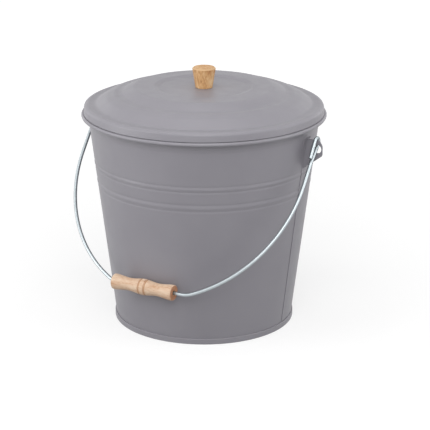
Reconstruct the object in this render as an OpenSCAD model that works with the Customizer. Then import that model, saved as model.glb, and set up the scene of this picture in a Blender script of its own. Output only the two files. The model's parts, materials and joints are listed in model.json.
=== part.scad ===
// Ash bucket with a lift-off lid, a swinging wire bail and a turned wooden grip.
// The origin is the centre of the bucket's foot on the floor, +Z is up, and the
// ears lie along X. The bail rests against the front of the wall, which faces -Y.

/* [Bucket wall] */
// Thickness of the bucket and lid sheet
sheet_t = 0.7; // [0.5:0.1:1]
// Outer radius of the conical wall where it meets the floor
base_r = 120.9; // [110:0.1:130]
// Outer radius of the rolled rim
rim_r = 165; // [148:0.5:184]
// Height of the centre of the rolled rim above the floor
rim_z = 286.5; // [255:0.5:320]
// Distance that the rolled rim stands out past the line of the wall
rim_out = 9; // [7:0.1:12]
// Radius of the rolled rim's own section
curl_r = 2.5; // [2.2:0.1:3.2]
// Turn of the flared lip away from the vertical, in degrees
flare_angle = 30; // [20:1:40]
// Radius of the bend between the wall and the flared lip
flare_bend_r = 20; // [8:1:25]
// Turn of the sheet round the rim wire, in degrees
curl_turn = 285; // [240:5:295]
// Radius of the wire inside the rolled rim
rim_wire_r = 1.7; // [1.2:0.05:1.75]

/* [Swaged bands] */
// Distance of each band's middle below the centre of the rim
band_drop = [64.3, 90.2]; // [56:0.1:100]
// Distance from each band's ridge to the groove on either side
band_pitch = [3.8, 4.6]; // [2.5:0.1:5]
// How far the ridges stand proud of the wall
band_ridge = 0.35; // [0.1:0.05:0.8]
// How deep the grooves are sunk
band_groove = 0.3; // [0.1:0.05:0.8]
// Width over which a groove runs out into the plain wall
band_run_out = 2.4; // [1:0.1:4]

/* [Side seam] */
// Width of the lapped side seam
seam_w = 12; // [10:0.5:16]
// Distance from the ear's middle plane to the seam's front edge
seam_front = 2.5; // [1:0.5:4]
// Height at which the seam's outer layer starts above the foot
seam_low_z = 9; // [8.5:0.5:20]

/* [Foot] */
// Height of the folded foot seam
foot_h = 7.7; // [6:0.1:8.2]
// Height of the bottom panel above the floor
panel_z = 5; // [3:0.5:6]
// Gap between folded layers of sheet
fold_gap = 0.1; // [0.05:0.05:0.2]

/* [Ears] */
// Distance that each ear's tip stands out past the rim
ear_reach = 12.5; // [11.5:0.5:20]
// Thickness of the ear sheet
ear_t = 1.5; // [1:0.1:2]
// Distance of the ear's top edge below the centre of the rim
ear_drop = 15.3; // [14.5:0.1:18]
// Height of the ear's root on the wall
ear_root_h = 41.2; // [36:0.1:44]
// Height of the ear's tip, down to its lower corner
ear_tip_h = 20.7; // [19:0.1:26]
// Width and height of the slope cut off the ear's upper corner
ear_slope = [4.5, 7.5]; // [4:0.1:8]
// Radii of the ear's corners, from the top down
ear_corner_r = [5, 7, 6]; // [3:0.5:8]
// Distance of the hole's centre in from the ear's tip
ear_hole_in = 7; // [6.8:0.1:8]
// Radius of the hole for the bail
ear_hole_r = 5.6; // [5.4:0.1:6]
// Height of the strip of ear that the bail's hook holds
ear_strip_h = 6.4; // [5:0.1:7]
// Height of the ear's flange on the wall
ear_flange_h = 34; // [20:1:36]
// Width of the ear's flange on the wall
ear_flange_w = 9; // [6:0.5:9.5]

/* [Bail] */
// Radius of the bail wire
bail_wire_r = 2.3; // [1.8:0.05:2.3]
// Length of the straight legs below the pivot
bail_leg_len = 62; // [50:1:75]
// How much deeper the bow below the legs is than half its width
bow_deepen = 3; // [0:0.5:12]
// Radius of the bend beside the grip
bail_blend_r = 35; // [20:1:45]
// Length of the straight wire past each end of the grip
bail_free = 2.5; // [2.5:0.1:6]
// Gap between the hook and the ear strip that it swings on
hook_gap = 0.4; // [0.2:0.1:0.6]
// Distance that the bail has slid along the ears
bail_shift = -1.5; // [-1.5:0.5:1.5]
// Distance from the pivot's axis to the plane of the bail
bail_set = 1.2; // [0.5:0.1:2]
// Lean of the leg from the hook into the plane of the bail, in degrees
leg_lean = 9.5; // [8:0.5:14]
// Radius of the bend where the leg meets the plane of the bail
kink_r = 15; // [8:1:20]
// Turn of the hook's tail back towards the leg, in degrees
tail_lean = 4; // [0:1:6]
// Length of the hook's straight tail
tail_len = 24.5; // [10:0.5:30]

/* [Grip] */
// Length of the turned grip
grip_len = 92; // [80:1:92]
// Radius of the grip at its middle
grip_belly_r = 10.8; // [9:0.1:12]
// Radius of the grip at its necks
grip_neck_r = 8.5; // [7:0.1:9]
// Radius of the grip's flared ends
grip_end_r = 10.5; // [9.5:0.1:12]
// Distance from the middle of the grip to each neck
grip_neck_x = 22; // [18:1:26]
// Length of the rounded edge at each end
grip_round = 1.8; // [1:0.1:5]
// Radius of the bore through the grip
grip_bore_r = 3.6; // [3.4:0.1:4.2]
// Distance that the grip has slid along the wire from the middle
grip_shift = -9; // [-9:0.5:9]
// Distance from the middle of the grip to each scribed line
scribe_x = 4.3; // [3:0.1:6]
// Depth of the scribed lines
scribe_depth = 0.8; // [0.3:0.1:1]
// Width of the scribed lines
scribe_w = 1.2; // [0.4:0.1:1.6]
// Gap between the resting grip and the wall
rest_gap = 0.3; // [0.2:0.1:1]

/* [Lid] */
// Distance of the lid's edge in from the outside of the rim
lid_inset = 3.1; // [2.6:0.1:3.5]
// Gap between the lid's edge and the rolled rim
lid_gap = 0.6; // [0.2:0.1:0.8]
// Height of the lid's crown above the lid's lower edge
crown_h = 34.4; // [31:0.1:38]
// Radius of the dished centre
dish_r = 60; // [52:0.5:70]
// Depth of the dished centre under the crown
dish_depth = 2.6; // [0.5:0.1:3.2]
// Width of the slope round the dished centre
dish_slope_w = 7; // [5:0.5:9]
// Radius of the bends at both ends of that slope
dish_bend_r = 8; // [4:0.5:9]
// Distance in from the lid's edge to each bend between crown and valley
dome_in = [67.9, 58.9, 51.9, 47.4, 41.4, 30.4, 20.9]; // [18:0.1:70]
// Drop below the crown of each bend between crown and valley
dome_drop = [0.7, 4.4, 7.8, 8.7, 9, 13.1, 19.6]; // [0.5:0.1:21]
// Radius of each bend between crown and valley
dome_bend_r = [15, 20, 10, 10, 12, 25, 14]; // [3:0.5:30]
// Drop of the valley below the crown
valley_drop = 23.1; // [21.5:0.1:24.5]
// Distance in from the lid's edge to the flat of the valley
valley_in = 9.9; // [9:0.1:11.5]
// Width of the flat of the valley
valley_w = 6; // [3:0.1:8]
// Radii of the bends on both sides of the valley, from the crown out
valley_bend_r = [8, 4]; // [3:0.5:9]
// Distance in from the lid's edge to the shoulder over the skirt
shoulder_in = 5.9; // [5:0.1:6.5]
// Rise of the shoulder above the valley
shoulder_rise = 0.4; // [0.2:0.1:2]
// Radius of the bend at the shoulder
shoulder_bend_r = 5; // [3:0.5:6]
// Distance that the skirt leans in at its top
skirt_in = 0.9; // [0.5:0.1:1.2]
// Drop of the skirt's top below the valley
skirt_drop = 1.7; // [0.5:0.1:2.5]
// Radius of the bend at the skirt's top
skirt_bend_r = 3.5; // [2:0.5:4]
// Height of the hem folded up inside the skirt
hem_h = 5.5; // [4:0.5:7]
// Depth that the locating collar reaches down from the lid's valley
collar_h = 24; // [14:0.5:28]
// Width of the collar's flange under the valley
collar_flange_w = 5; // [4:0.5:8]
// Side clearance between the collar and the bucket's mouth
collar_gap = 1.7; // [1:0.1:3]

/* [Knob] */
// Height of the wooden knob
knob_h = 27.8; // [20:0.1:32]
// Radius of the knob at its top
knob_top_r = 15.7; // [13:0.1:18]
// Radius of the knob at its base
knob_base_r = 11.5; // [9:0.1:12.5]
// Width of the knob's top chamfer
knob_chamfer = 1.7; // [0.8:0.1:2.4]
// Radius of the knob's screw
screw_r = 2; // [1.75:0.05:2.25]
// Length of the screw under its head
screw_len = 20; // [14:1:20]
// Radius of the screw's head
screw_head_r = 4; // [3.5:0.1:4.5]
// Height of the screw's head
screw_head_h = 2.6; // [2:0.1:3]
// Radius of the washer
washer_r = 7; // [6:0.5:9]
// Thickness of the washer
washer_t = 1; // [0.8:0.1:1.5]
// Clearance round the screw in the washer, the lid and the knob
screw_gap = 0.1; // [0.05:0.05:0.2]

/* [Hidden] */
$fn = 96;
paint = "#8b878d";
zinc = "#c3c9cc";
beech = "#dcb187";

half_t = sheet_t / 2;
mouth_r = rim_r - rim_out;
wall_slope = (mouth_r - base_r) / rim_z;
wall_lean = atan(wall_slope);
curl_x = rim_r - curl_r;
curl_mid_r = curl_r - half_t;
rim_top_z = rim_z + curl_r;
band_z = [for (drop = band_drop) rim_z - drop];

// Folded foot seam, from the floor up: bottom sheet, body flange, bottom sheet
flange_z = sheet_t + fold_gap + half_t;
fold_r = wall_r(foot_h) + fold_gap + half_t;
wrap_r = fold_r + sheet_t + fold_gap;
skirt_r = base_r - sheet_t - fold_gap - half_t;

// The hook's axis is the middle of the ear strip above the hole
ear_top_z = rim_z - ear_drop;
pivot_z = ear_top_z - ear_strip_h / 2;
hook_r = norm([ear_strip_h, ear_t]) / 2 + hook_gap + bail_wire_r;
ear_hole_z = ear_top_z - ear_strip_h - ear_hole_r;
ear_tip_x = rim_r + ear_reach;

// The bow touches the leg and the small bend beside the grip
bail_leg_x = ear_tip_x - ear_hole_in;
bail_drop = bail_leg_len + bail_leg_x + bow_deepen;
blend_z = bail_drop - bail_blend_r;
blend_x = grip_len / 2 + bail_free;
bow_w = bail_leg_x - blend_x;
bow_h = blend_z - bail_leg_len;
bail_bow_r = (bow_w * bow_w + bow_h * bow_h - bail_blend_r * bail_blend_r)
    / (2 * (bow_w - bail_blend_r));
bow_x = bail_leg_x - bail_bow_r;
bow_turn = atan2(bow_h, blend_x - bow_x);

// The leg leaves the hook at a lean and is kinked where it meets the bail's plane
lean_len = (hook_r * cos(leg_lean) - bail_set) / sin(leg_lean);
kink_reach = kink_r * tan(leg_lean / 2);
kink_z = hook_r * sin(leg_lean) + lean_len * cos(leg_lean) + kink_reach;

// Every second length of the wire is slimmer by a hair and runs into its neighbours
slim_wire_r = bail_wire_r - 0.02;
run_in = 0.3;

// Swing at which the grip lies on the conical wall
rest_reach = base_r + wall_slope * pivot_z + (grip_belly_r + rest_gap) / cos(wall_lean);
rest_a = bail_drop + wall_slope * bail_set;
rest_b = wall_slope * bail_drop - bail_set;
bail_rest = asin(rest_reach / norm([rest_a, rest_b])) - atan2(rest_b, rest_a);

lid_r = rim_r - lid_inset;
lid_low_z = rim_top_z + lid_gap;
crown_z = lid_low_z + crown_h;
dish_z = crown_z - dish_depth;
valley_z = crown_z - valley_drop;
collar_low_z = valley_z - sheet_t - collar_h;
collar_r = wall_r(collar_low_z) - sheet_t - collar_gap;
skirt_top_z = valley_z - skirt_drop;

arc_step = 12;
full_turn = 2 * PI;
cut_past = 1;

function wall_r(z) = base_r + wall_slope * z;
function unit(v) = v / norm(v);
function degrees_of(length, r) = 360 * length / (full_turn * r);
function left_of(v) = [-v[1], v[0]];
function turn_between(u, v) = atan2(u[0] * v[1] - u[1] * v[0], u * v);

// Points of the bend of radius r at corner b of the line a, b, c
function bend(a, b, c, r) =
    let (u = unit(b - a), v = unit(c - b), turn = turn_between(u, v))
    let (side = turn < 0 ? -1 : 1, reach = r * tan(abs(turn) / 2))
    let (start = b - u * reach, centre = start + left_of(u) * r * side)
    let (steps = max(1, ceil(abs(turn) / arc_step)), first = start - centre)
    [for (i = [0:steps]) centre + spun(first, turn * i / steps)];

function spun(v, a) = [v[0] * cos(a) - v[1] * sin(a), v[0] * sin(a) + v[1] * cos(a)];

// A line through corners [x, z, radius], each rounded by its own radius
function rounded(corners) = [
    for (i = [0:len(corners) - 1])
        let (b = [corners[i][0], corners[i][1]], r = corners[i][2])
        each (r == 0 ? [b] : bend([corners[i - 1][0], corners[i - 1][1]], b,
            [corners[i + 1][0], corners[i + 1][1]], r))];

// A line moved sideways by d, with mitred corners
function shifted(line, d) = [
    for (i = [0:len(line) - 1])
        let (u = unit(line[max(i, 1)] - line[max(i, 1) - 1]))
        let (j = min(i, len(line) - 2), v = unit(line[j + 1] - line[j]))
        line[i] + left_of(unit(u + v)) * d / cos(turn_between(u, v) / 2)];

function backwards(line) = [for (i = [len(line) - 1:-1:0]) line[i]];

// How far a swaged band moves the wall, at a distance s from its ridge
function band_shape(s, pitch) =
    let (mean = (band_ridge - band_groove) / 2, swing = (band_ridge + band_groove) / 2)
    abs(s) <= pitch ? mean + swing * cos(180 * s / pitch)
    : -band_groove * pow(cos(90 * (abs(s) - pitch) / band_run_out), 2);

band_steps = 8;

// The middle line of the wall from height low to height high, with its bands
function wall_line(low, high) = concat(
    [[wall_r(low) - half_t, low]],
    [for (b = [len(band_z) - 1:-1:0]) for (i = [-band_steps:band_steps])
        let (s = (band_pitch[b] + band_run_out) * i / band_steps, z = band_z[b] + s)
        [wall_r(z) - half_t + band_shape(s, band_pitch[b]), z]],
    [[wall_r(high) - half_t, high]]);

// The lip leaves the wall's middle line where it points at the curl's tangent
curl_start = 180 - flare_angle;
curl_in = [curl_x, rim_z] + curl_mid_r * [cos(curl_start), sin(curl_start)];
lip_dir = [sin(flare_angle), cos(flare_angle)];
lip_slope = tan(flare_angle);
lip_z = (curl_in[0] - lip_slope * curl_in[1] - base_r + half_t) / (wall_slope - lip_slope);
lip_corner = [wall_r(lip_z) - half_t, lip_z];
plain_end = 1;
wall_top_z = lip_z - plain_end
    - flare_bend_r * tan((flare_angle - wall_lean) / 2) * cos(wall_lean);
curl_steps = 18;

function body_line() = concat(
    [[fold_r, foot_h - sheet_t - fold_gap], [fold_r, flange_z]],
    wall_line(flange_z, wall_top_z),
    bend([wall_r(flange_z) - half_t, flange_z], lip_corner, curl_in, flare_bend_r),
    [for (i = [0:curl_steps])
        [curl_x, rim_z] + curl_mid_r * [cos(curl_start - curl_turn * i / curl_steps),
            sin(curl_start - curl_turn * i / curl_steps)]]);

// A sheet of revolution of thickness sheet_t round the middle line given
module spun_sheet(line) {
    rotate_extrude()
        polygon(concat(shifted(line, half_t), backwards(shifted(line, -half_t))));
}

module bucket_body() {
    color(paint) {
        spun_sheet(body_line());
        side_seam();
    }
}

// The lap of the side seam is one more layer outside the wall, behind the ear
module side_seam() {
    line = wall_line(seam_low_z, wall_top_z);
    rotate([0, 0, -degrees_of(seam_front, mouth_r)])
        rotate_extrude(angle = degrees_of(seam_w, mouth_r))
            polygon(concat(line, backwards(shifted(line, -half_t - sheet_t))));
}

module rim_wire() {
    color(zinc)
        translate([0, 0, rim_z])
            rotate_extrude()
                translate([curl_x, 0])
                    circle(r = rim_wire_r);
}

module bucket_bottom() {
    lip_end = wall_r(foot_h) + fold_gap;
    panel_bend_r = 1.5;
    fold_bend_r = 0.5;
    lip_bend_r = 0.4;
    color(paint)
        spun_sheet(rounded([
            [0, panel_z + half_t, 0],
            [skirt_r, panel_z + half_t, panel_bend_r],
            [skirt_r, half_t, fold_bend_r],
            [wrap_r, half_t, fold_bend_r],
            [wrap_r, foot_h - half_t, lip_bend_r],
            [lip_end, foot_h - half_t, 0]]));
}

// One ear, bent from sheet: a flange on the wall and a lug that stands out from it.
// Lift is the thickness of seam that lies under the flange.
module ear(lift) {
    flange_low_z = ear_top_z - ear_flange_h;
    root_low_z = ear_top_z - ear_root_h;
    root = function (z) wall_r(z) + lift;
    outline = rounded([
        [root(ear_top_z), ear_top_z, 0],
        [ear_tip_x - ear_slope[0], ear_top_z, ear_corner_r[0]],
        [ear_tip_x, ear_top_z - ear_slope[1], ear_corner_r[1]],
        [ear_tip_x, ear_top_z - ear_tip_h, ear_corner_r[2]],
        [root(root_low_z), root_low_z, 0]]);
    rotate([90, 0, 0])
        translate([0, 0, -ear_t / 2])
            linear_extrude(ear_t)
                difference() {
                    polygon(outline);
                    translate([bail_leg_x, ear_hole_z])
                        circle(r = ear_hole_r);
                }
    rotate_extrude(angle = degrees_of(ear_flange_w, mouth_r))
        polygon([
            [root(flange_low_z), flange_low_z],
            [root(flange_low_z) + ear_t, flange_low_z],
            [root(ear_top_z) + ear_t, ear_top_z],
            [root(ear_top_z), ear_top_z]]);
}

module ear_right() {
    color(paint)
        ear(sheet_t);
}

module ear_left() {
    color(paint)
        rotate([0, 0, 180])
            ear(0);
}

// Turns what is drawn hanging straight down under the pivot to where the bail rests
module at_rest() {
    translate([bail_shift, 0, pivot_z])
        rotate([-bail_rest, 0, 0])
            children();
}

// An arc of wire about Z, from the X axis on, longer at each end by the run given
module wire_arc(r, turn, wire_r, run) {
    rotate([0, 0, -degrees_of(run, r)])
        rotate_extrude(angle = turn + 2 * degrees_of(run, r))
            translate([r, 0])
                circle(r = wire_r, $fn = 32);
}

// One side of the bail, hanging straight down: tail, hook, leaning and straight leg,
// bow and bend
module bail_side() {
    translate([bail_leg_x, 0, 0]) {
        rotate([90, 0, 90])
            rotate([0, 0, -leg_lean])
                wire_arc(hook_r, leg_lean + 180 + tail_lean, slim_wire_r, run_in);
        rotate([tail_lean, 0, 0])
            wire_down(-hook_r, 0, tail_len);
        rotate([-leg_lean, 0, 0])
            wire_down(hook_r, 0, lean_len - kink_reach);
        translate([0, bail_set + kink_r, -kink_z])
            rotate([90, 0, 90])
                rotate([0, 0, 180 - leg_lean])
                    wire_arc(kink_r, leg_lean, slim_wire_r, run_in);
        wire_down(bail_set, kink_z, bail_leg_len - kink_z);
    }
    translate([bow_x, bail_set, -bail_leg_len])
        rotate([-90, 0, 0])
            wire_arc(bail_bow_r, bow_turn, slim_wire_r, run_in);
    translate([blend_x, bail_set, -blend_z])
        rotate([-90, 0, 0])
            rotate([0, 0, bow_turn])
                wire_arc(bail_blend_r, 90 - bow_turn, bail_wire_r, 0);
}

// A straight length of wire that runs down from a depth below the pivot
module wire_down(y, depth, length) {
    translate([0, y, -depth - length])
        cylinder(r = bail_wire_r, h = length, $fn = 32);
}

module bail_wire() {
    color(zinc)
        at_rest() {
            bail_side();
            mirror([1, 0, 0])
                bail_side();
            translate([0, bail_set, -bail_drop])
                rotate([0, 90, 0])
                    cylinder(r = slim_wire_r, h = 2 * (blend_x + run_in), center = true, $fn = 32);
        }
}

// Radius of the grip at a distance x from its middle
function grip_r(x) =
    let (d = abs(x), shoulder = grip_len / 2 - grip_round)
    d <= grip_neck_x ? wave(grip_belly_r, grip_neck_r, d / grip_neck_x)
    : d <= shoulder ? wave(grip_neck_r, grip_end_r, (d - grip_neck_x) / (shoulder - grip_neck_x))
    : grip_end_r - grip_round * (1 - sqrt(1 - pow((d - shoulder) / grip_round, 2))) * end_fall;

function wave(from, to, share) = (from + to) / 2 + (from - to) / 2 * cos(180 * share);

end_fall = 0.75;
grip_steps = 46;

module grip() {
    half = grip_len / 2;
    xs = [for (i = [0:grip_steps]) half * sin(90 * (2 * i / grip_steps - 1))];
    color(beech)
        at_rest()
            translate([grip_shift, bail_set, -bail_drop])
                rotate([0, 90, 0])
                    difference() {
                        rotate_extrude()
                            polygon(concat(
                                [[0, -half]],
                                [for (x = xs) [grip_r(x), x]],
                                [[0, half]]));
                        cylinder(r = grip_bore_r, h = grip_len + 2 * cut_past, center = true);
                        scribed_line(scribe_x);
                        scribed_line(-scribe_x);
                    }
}

// A V-shaped line cut round the grip
module scribed_line(x) {
    bottom = grip_r(x) - scribe_depth;
    top = bottom + 2 * scribe_depth;
    rotate_extrude()
        polygon([[bottom, x], [top, x - scribe_w], [top, x + scribe_w]]);
}

// The lid's top face from the screw hole out to its edge, as corners with radii
function lid_corners() = [
    [screw_r + screw_gap, dish_z, 0],
    [dish_r, dish_z, dish_bend_r],
    [dish_r + dish_slope_w, crown_z, dish_bend_r],
    for (i = [0:len(dome_in) - 1])
        [lid_r - dome_in[i], crown_z - dome_drop[i], dome_bend_r[i]],
    [lid_r - valley_in - valley_w, valley_z, valley_bend_r[0]],
    [lid_r - valley_in, valley_z, valley_bend_r[1]],
    [lid_r - shoulder_in, valley_z + shoulder_rise, shoulder_bend_r],
    [lid_r - skirt_in, skirt_top_z, skirt_bend_r],
    [lid_r, lid_low_z + half_t, 0]];

module lid_shell() {
    line = shifted(rounded(lid_corners()), -half_t);
    hem_r = lid_r - half_t - sheet_t - fold_gap;
    hem_in = skirt_in * hem_h / (skirt_top_z - lid_low_z);
    color(paint)
        spun_sheet(concat(line, [
            [hem_r, lid_low_z + half_t],
            [hem_r - hem_in, lid_low_z + hem_h]]));
}

module lid_collar() {
    color(paint)
        spun_sheet([
            [collar_r - half_t - collar_flange_w, valley_z - sheet_t - half_t],
            [collar_r - half_t, valley_z - sheet_t - half_t],
            [collar_r - half_t, collar_low_z]]);
}

module lid_knob() {
    tip_room = 1;
    edge = 0.6;
    hole_depth = screw_len - washer_t - sheet_t + tip_room;
    color(beech)
        translate([0, 0, dish_z])
            difference() {
                rotate_extrude()
                    polygon([
                        [0, 0],
                        [knob_base_r - edge, 0],
                        [knob_base_r, edge],
                        [knob_top_r, knob_h - knob_chamfer],
                        [knob_top_r - knob_chamfer, knob_h],
                        [0, knob_h]]);
                translate([0, 0, -cut_past])
                    cylinder(r = screw_r + screw_gap, h = hole_depth + cut_past, $fn = 32);
            }
}

module knob_washer() {
    color(zinc)
        translate([0, 0, dish_z - sheet_t - washer_t])
            difference() {
                cylinder(r = washer_r, h = washer_t);
                translate([0, 0, -cut_past])
                    cylinder(r = screw_r + screw_gap, h = washer_t + 2 * cut_past, $fn = 32);
            }
}

module knob_screw() {
    slot_w = 0.9;
    slot_len = 4.4;
    slot_depth = 1.4;
    bevel = 1;
    color(zinc)
        translate([0, 0, dish_z - sheet_t - washer_t])
            difference() {
                union() {
                    cylinder(r = screw_r, h = screw_len, $fn = 32);
                    translate([0, 0, -screw_head_h])
                        cylinder(r1 = screw_head_r - bevel, r2 = screw_head_r, h = bevel, $fn = 48);
                    translate([0, 0, bevel - screw_head_h])
                        cylinder(r = screw_head_r, h = screw_head_h - bevel, $fn = 48);
                }
                for (turn = [0, 90])
                    rotate([0, 0, turn])
                        translate([-slot_len / 2, -slot_w / 2, -screw_head_h - cut_past])
                            cube([slot_len, slot_w, slot_depth + cut_past]);
            }
}

bucket_body();
rim_wire();
bucket_bottom();
ear_left();
ear_right();
bail_wire();
grip();
lid_shell();
lid_collar();
lid_knob();
knob_washer();
knob_screw();
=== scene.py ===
# Looks of the ash bucket: camera, materials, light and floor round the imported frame.
import json
import math

import bpy
from mathutils import Matrix, Vector

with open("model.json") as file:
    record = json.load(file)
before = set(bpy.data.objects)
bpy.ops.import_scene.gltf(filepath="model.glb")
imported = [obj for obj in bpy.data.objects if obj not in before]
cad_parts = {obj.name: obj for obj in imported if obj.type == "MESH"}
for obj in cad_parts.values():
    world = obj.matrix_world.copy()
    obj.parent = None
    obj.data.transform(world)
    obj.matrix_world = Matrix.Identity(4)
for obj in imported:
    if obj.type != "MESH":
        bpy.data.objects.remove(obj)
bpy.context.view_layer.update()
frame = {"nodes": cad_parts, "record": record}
nodes = frame["nodes"]
scene = bpy.context.scene

# Camera: where it stands and looks, with lengths in metres
AZIMUTH = math.radians(29.6)
PITCH = math.radians(18.10)
DISTANCE = 2.2048
HEIGHT = 0.86184
CLIP_NEAR = 0.05
CLIP_FAR = 50
# Lens in millimetres, and its shift as a share of the sensor
SENSOR = 36
LENS = 141.376
SHIFT = 0.0256

cam_data = bpy.data.cameras.new("camera")
cam_data.sensor_width = SENSOR
cam_data.lens = LENS
cam_data.shift_x = SHIFT
cam_data.clip_start = CLIP_NEAR
cam_data.clip_end = CLIP_FAR
camera = bpy.data.objects.new("camera", cam_data)
scene.collection.objects.link(camera)
right = Vector((math.cos(AZIMUTH), math.sin(AZIMUTH), 0))
level = Vector((-math.sin(AZIMUTH), math.cos(AZIMUTH), 0))
ahead = level * math.cos(PITCH) - Vector((0, 0, 1)) * math.sin(PITCH)
up = right.cross(ahead)
turn = Matrix((right, up, -ahead)).transposed()
place = -level * DISTANCE + Vector((0, 0, HEIGHT))
camera.matrix_world = Matrix.Translation(place) @ turn.to_4x4()
scene.camera = camera
scene.view_settings.view_transform = "Standard"


# Node helpers

# Sockets of the Mix node: its share, the inputs of each kind, and the outputs
MIX_SHARE = 0
MIX_FLOAT_A, MIX_FLOAT_B, MIX_FLOAT_OUT = 2, 3, 0
MIX_COLOUR_A, MIX_COLOUR_B, MIX_COLOUR_OUT = 6, 7, 2
# Stretch of a noise's values that nearly all of it lies in
NOISE_LOW = 0.3
NOISE_HIGH = 0.7


def shader(name):
    mat = bpy.data.materials.new(name)
    mat.use_nodes = True
    tree = mat.node_tree
    return mat, tree, tree.nodes["Principled BSDF"]


# A new node with some inputs set by name, and its other settings
def add(tree, kind, inputs=None, **settings):
    made = tree.nodes.new(kind)
    for key, value in settings.items():
        setattr(made, key, value)
    for key, value in (inputs or {}).items():
        made.inputs[key].default_value = value
    return made


def own_place(tree):
    return add(tree, "ShaderNodeTexCoord").outputs["Object"]


# Noise whose scale is in cells per metre
def noise(tree, vector, scale, detail=2.0, rough=0.5):
    made = add(tree, "ShaderNodeTexNoise", {"Scale": scale, "Detail": detail, "Roughness": rough})
    tree.links.new(vector, made.inputs["Vector"])
    return made.outputs["Fac"]


# Maps the values between start and end to those between low and high
def spread(tree, value, low, high, start=NOISE_LOW, end=NOISE_HIGH):
    made = add(tree, "ShaderNodeMapRange", {
        "From Min": start, "From Max": end, "To Min": low, "To Max": high})
    tree.links.new(value, made.inputs["Value"])
    return made.outputs["Result"]


def ramp(tree, value, stops):
    made = add(tree, "ShaderNodeValToRGB")
    points = made.color_ramp.elements
    while len(points) < len(stops):
        points.new(0.5)
    for point, (where, colour) in zip(points, stops):
        point.position = where
        point.color = (*colour, 1)
    tree.links.new(value, made.inputs["Fac"])
    return made.outputs["Color"]


# A bump of some strength, whose full height is a distance in metres
def bump(tree, height, strength, distance):
    made = add(tree, "ShaderNodeBump", {"Strength": strength, "Distance": distance})
    tree.links.new(height, made.inputs["Height"])
    return made.outputs["Normal"]


# One for the rays that see the white surroundings, and nought for the rays that light
def seen_as_white(tree):
    rays = tree.nodes.new("ShaderNodeLightPath")
    share = rays.outputs["Is Camera Ray"]
    for kind in ("Is Glossy Ray", "Is Transmission Ray"):
        most = add(tree, "ShaderNodeMath", operation="MAXIMUM")
        tree.links.new(share, most.inputs[0])
        tree.links.new(rays.outputs[kind], most.inputs[1])
        share = most.outputs[0]
    return share


# Materials

# Satin powder coat: two near tones, a slight change of roughness, and a fine grain
PAINT_TONES = [(NOISE_LOW, (0.261, 0.251, 0.279)), (NOISE_HIGH, (0.279, 0.269, 0.297))]
PAINT_ROUGH = (0.42, 0.5)
PAINT_SPECULAR = 0.5
PAINT_TONE_SCALE, PAINT_ROUGH_SCALE, PAINT_GRAIN_SCALE = 14, 60, 1100
PAINT_DETAIL = 4
PAINT_BUMP = (0.12, 0.0002)


def painted_steel():
    mat, tree, main = shader("painted_steel")
    at = own_place(tree)
    link = tree.links.new
    tone = noise(tree, at, PAINT_TONE_SCALE, PAINT_DETAIL)
    link(ramp(tree, tone, PAINT_TONES), main.inputs["Base Color"])
    patches = noise(tree, at, PAINT_ROUGH_SCALE, PAINT_DETAIL)
    link(spread(tree, patches, *PAINT_ROUGH), main.inputs["Roughness"])
    grain = noise(tree, at, PAINT_GRAIN_SCALE)
    link(bump(tree, grain, *PAINT_BUMP), main.inputs["Normal"])
    main.inputs["Specular IOR Level"].default_value = PAINT_SPECULAR
    return mat


# Zinc: a tone that darkens a little in places, round a middle roughness
ZINC_DARKER = 0.93
ZINC_ROUGH_LESS, ZINC_ROUGH_MORE = 0.06, 0.08
ZINC_TONE_SCALE, ZINC_ROUGH_SCALE, ZINC_GRAIN_SCALE = 180, 400, 1500
ZINC_TONE_DETAIL, ZINC_ROUGH_DETAIL = 4, 3
ZINC_BUMP = (0.15, 0.0001)


def zinc(name, tone, rough, edge):
    mat, tree, main = shader(name)
    at = own_place(tree)
    link = tree.links.new
    darker = tuple(c * ZINC_DARKER for c in tone)
    patches = noise(tree, at, ZINC_TONE_SCALE, ZINC_TONE_DETAIL)
    tones = [(NOISE_LOW, darker), (NOISE_HIGH, tone)]
    link(ramp(tree, patches, tones), main.inputs["Base Color"])
    wear = noise(tree, at, ZINC_ROUGH_SCALE, ZINC_ROUGH_DETAIL)
    worn = spread(tree, wear, rough - ZINC_ROUGH_LESS, rough + ZINC_ROUGH_MORE)
    link(worn, main.inputs["Roughness"])
    grain = noise(tree, at, ZINC_GRAIN_SCALE)
    link(bump(tree, grain, *ZINC_BUMP), main.inputs["Normal"])
    main.inputs["Metallic"].default_value = 1.0
    main.inputs["Specular Tint"].default_value = (edge, edge, edge, 1)
    return mat


# Lays a tone over a colour where a value is within half of the middle, with a soft edge
def marked(tree, colour, value, middle, half, soft, tone):
    off = add(tree, "ShaderNodeMath", operation="SUBTRACT")
    tree.links.new(value, off.inputs[0])
    off.inputs[1].default_value = middle
    size = add(tree, "ShaderNodeMath", operation="ABSOLUTE")
    tree.links.new(off.outputs["Value"], size.inputs[0])
    made = add(tree, "ShaderNodeMix", data_type="RGBA")
    inside = spread(tree, size.outputs["Value"], 1, 0, half, half + soft)
    tree.links.new(inside, made.inputs[MIX_SHARE])
    tree.links.new(colour, made.inputs[MIX_COLOUR_A])
    made.inputs[MIX_COLOUR_B].default_value = (*tone, 1)
    return made.outputs[MIX_COLOUR_OUT]


# Wood: coarse figure and fine grain along the stretch, each tone at its share of the noise
WOOD_DETAIL = 3
WOOD_NOISE_ROUGH = 0.6
WOOD_GRAIN_SHARE = 0.4
WOOD_ROUGH = (0.5, 0.62)
WOOD_SPECULAR = 0.3
WOOD_BUMP = (0.2, 0.0003)


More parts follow.
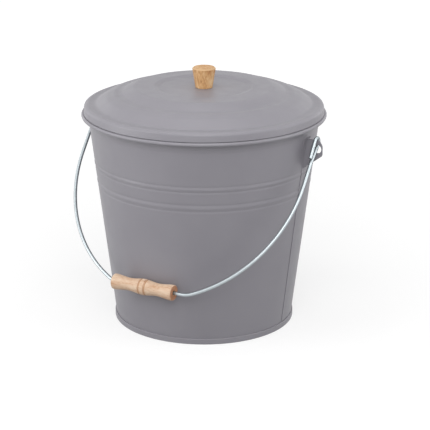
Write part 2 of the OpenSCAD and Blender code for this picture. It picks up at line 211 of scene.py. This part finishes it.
# Marks are bands of another tone: of place in metres or of facing, along one axis
def wood(name, stops, stretch, coarse, fine, marks):
    mat, tree, main = shader(name)
    link = tree.links.new
    spot = add(tree, "ShaderNodeTexCoord")
    long = add(tree, "ShaderNodeMapping", {"Scale": stretch})
    link(spot.outputs["Object"], long.inputs["Vector"])
    figure = noise(tree, long.outputs["Vector"], coarse, WOOD_DETAIL, WOOD_NOISE_ROUGH)
    grain = noise(tree, long.outputs["Vector"], fine, WOOD_DETAIL, WOOD_NOISE_ROUGH)
    mottle = add(tree, "ShaderNodeMix")
    mottle.inputs[MIX_SHARE].default_value = WOOD_GRAIN_SHARE
    link(figure, mottle.inputs[MIX_FLOAT_A])
    link(grain, mottle.inputs[MIX_FLOAT_B])
    colour = ramp(tree, mottle.outputs[MIX_FLOAT_OUT], stops)
    axes = {}
    for kind, output in (("place", "Object"), ("facing", "Normal")):
        parts = tree.nodes.new("ShaderNodeSeparateXYZ")
        link(spot.outputs[output], parts.inputs[0])
        axes[kind] = parts.outputs
    for kind, axis, middle, half, soft, tone in marks:
        colour = marked(tree, colour, axes[kind][axis], middle, half, soft, tone)
    link(colour, main.inputs["Base Color"])
    link(spread(tree, grain, *WOOD_ROUGH), main.inputs["Roughness"])
    link(bump(tree, grain, *WOOD_BUMP), main.inputs["Normal"])
    main.inputs["Specular IOR Level"].default_value = WOOD_SPECULAR
    return mat


# Marks: kind, axis, middle, half width, soft edge and tone
LINE_TONE = (0.48, 0.26, 0.14)
LINE_HALF, LINE_SOFT = 0.0004, 0.0006
END_TONE = (0.46, 0.22, 0.12)
END_HALF, END_SOFT = 0.1, 0.15
GRIP_MARKS = [
    ("place", "X", -0.0133, LINE_HALF, LINE_SOFT, LINE_TONE),
    ("place", "X", -0.0047, LINE_HALF, LINE_SOFT, LINE_TONE),
    ("facing", "X", -1.0, END_HALF, END_SOFT, END_TONE),
    ("facing", "X", 1.0, END_HALF, END_SOFT, END_TONE),
]
# Painted highlight: the knob's chamfer, which faces up at a slant, gets a paler tone that stands
# in for the front light falling on it
CHAMFER_HIGHLIGHT_TONE = (0.64, 0.42, 0.23)
KNOB_HIGHLIGHT_MARKS = [("facing", "Z", 0.68, 0.2, 0.1, CHAMFER_HIGHLIGHT_TONE)]

PALE_TONES = [
    (0.36, (0.59, 0.345, 0.21)), (0.48, (0.715, 0.50, 0.35)), (0.62, (0.79, 0.61, 0.455))]
WARM_TONES = [
    (0.36, (0.47, 0.23, 0.095)), (0.48, (0.65, 0.375, 0.17)), (0.62, (0.76, 0.52, 0.29))]

LOOKS = {
    "painted_steel": painted_steel(),
    "bare_steel": zinc("bare_steel", (0.45, 0.45, 0.45), 0.4, 0.8),
    "zinc_wire": zinc("zinc_wire", (0.42, 0.46, 0.48), 0.38, 0.25),
    "zinc_hardware": zinc("zinc_hardware", (0.60, 0.61, 0.62), 0.3, 0.9),
    "pale_wood": wood("pale_wood", PALE_TONES, (0.25, 1, 1), 140, 700, GRIP_MARKS),
    "warm_wood": wood("warm_wood", WARM_TONES, (1, 1, 0.35), 160, 600, KNOB_HIGHLIGHT_MARKS),
}
for part in frame["record"]["subparts"]:
    node = nodes[part["node"]]
    node.data.materials.clear()
    node.data.materials.append(LOOKS[part["material_slot"]])


# Light and floor
WHITE = (1, 1, 1, 1)
AMBIENT = 0.2
BACKDROP = 1.0

world = bpy.data.worlds.new("world")
scene.world = world
world.use_nodes = True
tree = world.node_tree
ambient = tree.nodes["Background"]
ambient.inputs["Color"].default_value = WHITE
ambient.inputs["Strength"].default_value = AMBIENT
backdrop = add(tree, "ShaderNodeBackground", {"Color": WHITE, "Strength": BACKDROP})
either = tree.nodes.new("ShaderNodeMixShader")
tree.links.new(seen_as_white(tree), either.inputs["Fac"])
tree.links.new(ambient.outputs["Background"], either.inputs[1])
tree.links.new(backdrop.outputs["Background"], either.inputs[2])
tree.links.new(either.outputs["Shader"], tree.nodes["World Output"].inputs["Surface"])

# Soft boxes: metres to the camera's right, towards the camera and up, size, and watts
BOXES = {
    "box_left_low": (-1.3, 0.3, 0.35, 0.6, 3.6),
    "box_left": (-1.2, 0.4, 0.75, 1.0, 5.2),
    "box_right_low": (1.3, 0.3, 0.35, 0.6, 1.4),
    "box_right": (1.2, 0.4, 0.75, 1.0, 4.4),
    "box_front_high": (0.0, 1.2, 1.2, 1.0, 9.0),
    "box_front": (0.0, 1.5, 0.8, 0.8, 4.0),
    "box_top": (0.0, 0.0, 1.5, 1.0, 4.3),
    "box_back_left": (-1.1, -1.0, 0.6, 1.0, 2.5),
    "box_back_right": (1.1, -1.0, 0.6, 1.0, 2.5),
}
# The point that every box faces
MIDDLE = Vector((0, 0, 0.17))
for name, (across, near, height, size, watts) in BOXES.items():
    data = bpy.data.lights.new(name, "AREA")
    data.shape = "SQUARE"
    data.size = size
    data.energy = watts
    lamp = bpy.data.objects.new(name, data)
    scene.collection.objects.link(lamp)
    lamp.location = right * across - level * near + Vector((0, 0, height))
    lamp.rotation_euler = (MIDDLE - lamp.location).to_track_quat("-Z", "Y").to_euler()
    lamp.visible_camera = False

FLOOR_SIZE = 30
FLOOR_COLOUR = (0.35, 0.35, 0.35, 1)
FLOOR_ROUGH = (0.6, 0.7)
FLOOR_ROUGH_SCALE = 3
FLOOR_ROUGH_DETAIL = 3
# Glow that only the white rays see, near the object and far from it, and between which metres
GLOW_NEAR, GLOW_FAR = 0.69, 0.95
GLOW_START, GLOW_END = 0.25, 1.6

bpy.ops.mesh.primitive_plane_add(size=FLOOR_SIZE, location=(0, 0, 0))
floor = bpy.context.object
floor.name = "floor"
mat, tree, main = shader("floor")
at = own_place(tree)
patches = noise(tree, at, FLOOR_ROUGH_SCALE, FLOOR_ROUGH_DETAIL)
tree.links.new(spread(tree, patches, *FLOOR_ROUGH), main.inputs["Roughness"])
main.inputs["Base Color"].default_value = FLOOR_COLOUR
main.inputs["Specular IOR Level"].default_value = 0.0
away = add(tree, "ShaderNodeVectorMath", operation="LENGTH")
tree.links.new(at, away.inputs[0])
amount = add(tree, "ShaderNodeMath", operation="MULTIPLY")
glow = spread(tree, away.outputs["Value"], GLOW_NEAR, GLOW_FAR, GLOW_START, GLOW_END)
tree.links.new(glow, amount.inputs[0])
tree.links.new(seen_as_white(tree), amount.inputs[1])
lift = add(tree, "ShaderNodeEmission", {"Color": WHITE})
tree.links.new(amount.outputs["Value"], lift.inputs["Strength"])
lit = tree.nodes.new("ShaderNodeAddShader")
tree.links.new(main.outputs["BSDF"], lit.inputs[0])
tree.links.new(lift.outputs["Emission"], lit.inputs[1])
tree.links.new(lit.outputs["Shader"], tree.nodes["Material Output"].inputs["Surface"])
floor.data.materials.append(mat)
